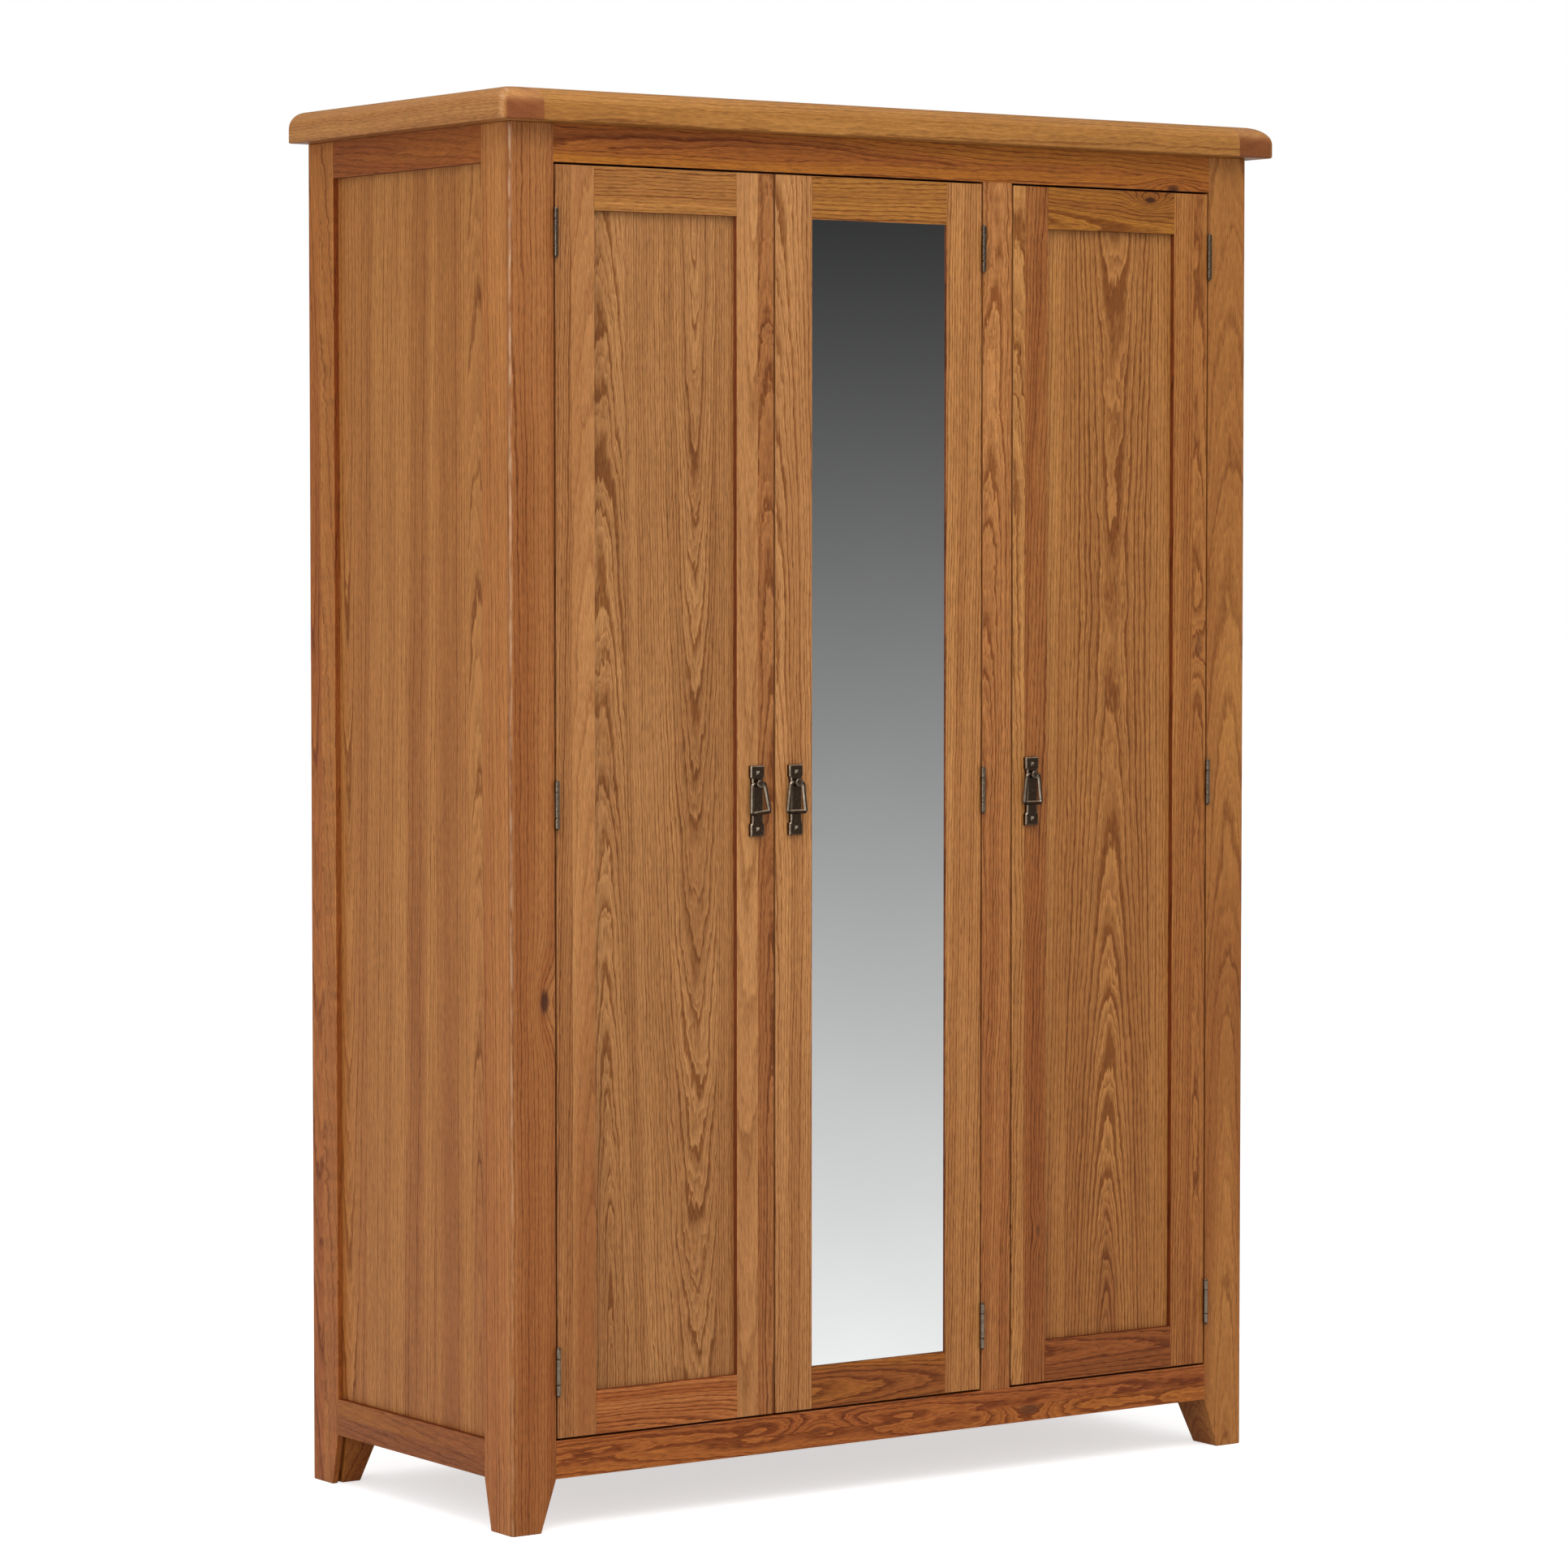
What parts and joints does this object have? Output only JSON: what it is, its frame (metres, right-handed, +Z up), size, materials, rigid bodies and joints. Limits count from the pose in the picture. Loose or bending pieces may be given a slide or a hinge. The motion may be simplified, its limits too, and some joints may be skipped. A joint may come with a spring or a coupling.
{
  "type": "wardrobe",
  "caption": "Free-standing oak wardrobe with three framed doors, the middle one mirrored, cast ring pulls, tapered feet and a round-edged top.",
  "frame": {"origin": "on the floor, at the centre of the bounding box", "axes": "+Z up, +Y from the doors to the back, +X to the right of someone facing the doors"},
  "size_m": [1.335, 0.57, 1.948],
  "materials": {
    "oak_frame": "satin oiled oak",
    "oak_panel": "satin oiled oak, upright grain",
    "oak_top": "satin oiled oak",
    "oak_inside": "plain oak, matt",
    "backing_board": "thin board, matt",
    "mirror": "silvered glass",
    "antique_metal": "dark antique bronze, rubbed edges",
    "steel": "bronzed steel",
    "catch_plastic": "brown moulded"
  },
  "bodies": {
    "carcass": {"top_field": "oak_top", "top_end_left": "oak_top", "top_end_right": "oak_top", "post_front_left": "oak_frame", "post_front_right": "oak_frame", "post_back_left": "oak_frame", "post_back_right": "oak_frame", "front_rail_top": "oak_frame", "front_rail_bottom": "oak_frame", "mullion": "oak_frame", "side_rail_top_left": "oak_frame", "side_rail_bottom_left": "oak_frame", "side_rail_top_right": "oak_frame", "side_rail_bottom_right": "oak_frame", "side_panel_left": "oak_panel", "side_panel_right": "oak_panel", "back_rails": "oak_frame", "back_boards": "oak_panel", "partition": "oak_inside", "floor_board": "oak_inside", "hat_shelf": "oak_inside", "shelves": "oak_inside", "shelf_cleats": "oak_inside", "hanging_rail": "oak_inside", "rail_sockets": "antique_metal", "door_catches": "catch_plastic", "frame_hinge_leaves": "antique_metal", "frame_hinge_screws": "steel", "hinge_pins": "antique_metal"},
    "door_left": {"door_left_hinge_stile": "oak_frame", "door_left_lock_stile": "oak_frame", "door_left_rail_top": "oak_frame", "door_left_rail_bottom": "oak_frame", "door_left_panel": "oak_panel", "door_left_hinge_leaves": "antique_metal", "door_left_hinge_screws": "steel", "handle_left_plate": "antique_metal", "handle_left_stud": "antique_metal"},
    "door_mirror": {"door_mirror_hinge_stile": "oak_frame", "door_mirror_lock_stile": "oak_frame", "door_mirror_rail_top": "oak_frame", "door_mirror_rail_bottom": "oak_frame", "door_mirror_glass": "mirror", "door_mirror_backing": "backing_board", "door_mirror_hinge_leaves": "antique_metal", "door_mirror_hinge_screws": "steel", "handle_mirror_plate": "antique_metal", "handle_mirror_stud": "antique_metal"},
    "door_right": {"door_right_hinge_stile": "oak_frame", "door_right_lock_stile": "oak_frame", "door_right_rail_top": "oak_frame", "door_right_rail_bottom": "oak_frame", "door_right_panel": "oak_panel", "door_right_hinge_leaves": "antique_metal", "door_right_hinge_screws": "steel", "handle_right_plate": "antique_metal", "handle_right_stud": "antique_metal"},
    "pull_left": {"handle_left_ring": "antique_metal"},
    "pull_mirror": {"handle_mirror_ring": "antique_metal"},
    "pull_right": {"handle_right_ring": "antique_metal"}
  },
  "joints": [
    {"name": "left_door_hinge", "type": "hinge", "parent": "carcass", "child": "door_left", "pos_m": [-0.566, -0.2584, 0.9875], "axis": [0, 0, -1], "range_deg": [0, 170]},
    {"name": "mirror_door_hinge", "type": "hinge", "parent": "carcass", "child": "door_mirror", "pos_m": [0.15267, -0.2584, 0.9875], "axis": [0, 0, 1], "range_deg": [0, 160]},
    {"name": "right_door_hinge", "type": "hinge", "parent": "carcass", "child": "door_right", "pos_m": [0.566, -0.2584, 0.9875], "axis": [0, 0, 1], "range_deg": [0, 170]},
    {"name": "left_ring_swing", "type": "hinge", "parent": "door_left", "child": "pull_left", "pos_m": [-0.23917, -0.2625, 1.0073], "axis": [-1, 0, 0], "range_deg": [0, 95]},
    {"name": "mirror_ring_swing", "type": "hinge", "parent": "door_mirror", "child": "pull_mirror", "pos_m": [-0.17417, -0.2625, 1.0073], "axis": [-1, 0, 0], "range_deg": [0, 95]},
    {"name": "right_ring_swing", "type": "hinge", "parent": "door_right", "child": "pull_right", "pos_m": [0.23917, -0.2625, 1.0073], "axis": [-1, 0, 0], "range_deg": [0, 95]}
  ]
}
